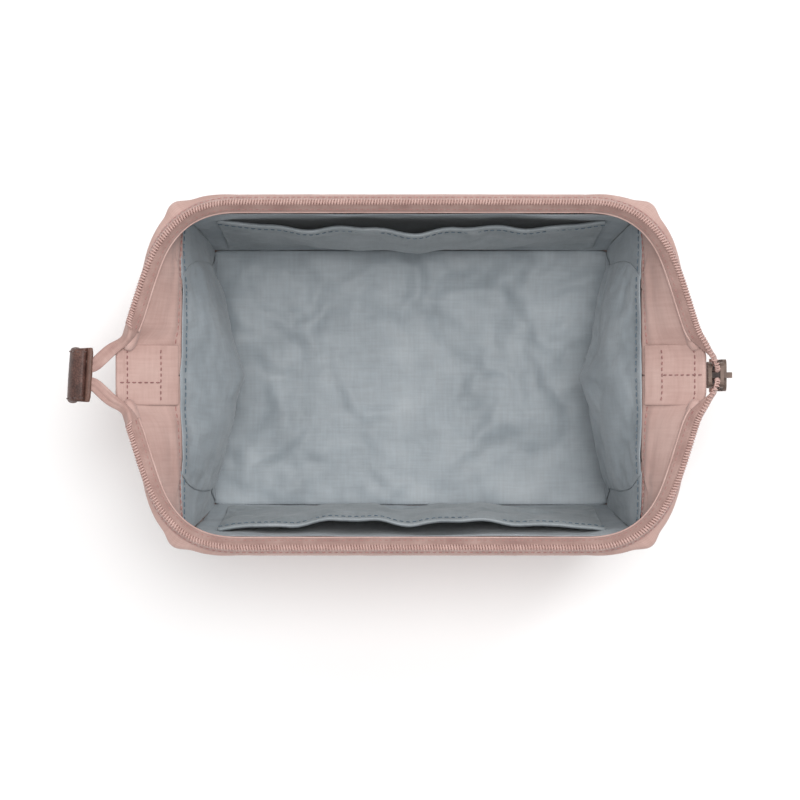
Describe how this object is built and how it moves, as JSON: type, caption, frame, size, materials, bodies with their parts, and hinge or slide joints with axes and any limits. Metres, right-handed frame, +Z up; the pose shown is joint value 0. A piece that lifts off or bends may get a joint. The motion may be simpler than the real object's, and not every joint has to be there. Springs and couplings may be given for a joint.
{
  "type": "nursery pouch",
  "caption": "Soft wide-mouth nursery pouch: two U-shaped wires hold its zipped mouth open, with a lining, inner pockets, a slider and a leather end tab.",
  "frame": {"origin": "middle of the base's underside", "axes": "+X along the mouth towards the slider, -Y the front, +Z up"},
  "size_m": [0.3514, 0.188, 0.172],
  "materials": {
    "outer_fabric": "matte woven polyester, dusty pink",
    "trim_fabric": "matte woven polyester, dusty pink",
    "lining_fabric": "smooth lining twill, blue-grey",
    "pocket_fabric": "smooth lining twill, blue-grey",
    "zip_tape": "ribbed zip tape, dusty pink",
    "zip_coil": "nylon coil, dusty pink",
    "leather": "soft brown leather",
    "zip_metal": "antique bronze, worn bright on its edges",
    "frame_wire": "drawn spring steel wire",
    "end_cap": "black vinyl",
    "board": "grey stiffener board"
  },
  "bodies": {
    "bag_base": {"base_panel": "outer_fabric", "base_board": "board", "base_lining": "lining_fabric", "left_side_panel": "outer_fabric", "left_side_lining": "lining_fabric", "right_side_panel": "outer_fabric", "right_side_lining": "lining_fabric"},
    "front_wall": {"front_wall": "outer_fabric", "front_lining": "lining_fabric", "front_pocket": "pocket_fabric", "front_pocket_elastic": "pocket_fabric"},
    "rear_wall": {"rear_wall": "outer_fabric", "rear_lining": "lining_fabric", "rear_pocket": "pocket_fabric", "rear_pocket_elastic": "pocket_fabric"},
    "side_seams": {"left_seam_patch": "trim_fabric", "right_seam_patch": "trim_fabric", "front_left_tape_end": "zip_tape", "rear_left_tape_end": "zip_tape", "front_right_tape_end": "zip_tape", "rear_right_tape_end": "zip_tape", "leather_end_tab": "leather", "zip_bottom_stop": "zip_metal"},
    "front_frame": {"front_frame_wire": "frame_wire", "front_wire_sleeve": "trim_fabric", "front_left_wire_cap": "end_cap", "front_right_wire_cap": "end_cap", "front_zip_tape": "zip_tape", "front_zip_coil": "zip_coil", "front_left_facing": "trim_fabric", "front_right_facing": "trim_fabric"},
    "rear_frame": {"rear_frame_wire": "frame_wire", "rear_wire_sleeve": "trim_fabric", "rear_left_wire_cap": "end_cap", "rear_right_wire_cap": "end_cap", "rear_zip_tape": "zip_tape", "rear_zip_coil": "zip_coil", "rear_left_facing": "trim_fabric", "rear_right_facing": "trim_fabric"},
    "slider": {"zip_slider": "zip_metal"},
    "puller": {"zip_puller": "leather"}
  },
  "joints": [
    {"name": "mouth_close", "type": "hinge", "parent": "side_seams", "child": "front_frame", "pos_m": [0, -0.01235, 0.16], "axis": [-1, 0, 0], "range_deg": [0, 90], "deforming": ["left_side_panel", "left_side_lining", "right_side_panel", "right_side_lining", "front_left_facing", "front_right_facing", "rear_left_facing", "rear_right_facing"]},
    {"name": "rear_frame_turn", "type": "hinge", "parent": "side_seams", "child": "rear_frame", "pos_m": [0, 0.01235, 0.16], "axis": [1, 0, 0], "range_deg": [0, 90]},
    {"name": "side_seams_drop", "type": "slide", "parent": "bag_base", "child": "side_seams", "axis": [0, 0, -1], "range_m": [0, 0.09125]},
    {"name": "front_wall_lean", "type": "hinge", "parent": "bag_base", "child": "front_wall", "pos_m": [0, -0.078, 0], "axis": [-1, 0, 0], "range_deg": [0, 28.45]},
    {"name": "rear_wall_lean", "type": "hinge", "parent": "bag_base", "child": "rear_wall", "pos_m": [0, 0.078, 0], "axis": [1, 0, 0], "range_deg": [0, 28.45]},
    {"name": "slider_run", "type": "slide", "parent": "side_seams", "child": "slider", "axis": [0, 0, -1], "range_m": [0, 0.012]},
    {"name": "puller_swing", "type": "hinge", "parent": "slider", "child": "puller", "pos_m": [0.16631, 0, 0.1462], "axis": [0, -1, 0], "range_deg": [0, 150]}
  ],
  "couplings": [
    {"joint": "rear_frame_turn", "follows": "mouth_close", "ratio": 1},
    {"joint": "side_seams_drop", "follows": "mouth_close", "m_per_rad": 0.058089},
    {"joint": "front_wall_lean", "follows": "mouth_close", "ratio": 0.31602},
    {"joint": "rear_wall_lean", "follows": "mouth_close", "ratio": 0.31602}
  ]
}
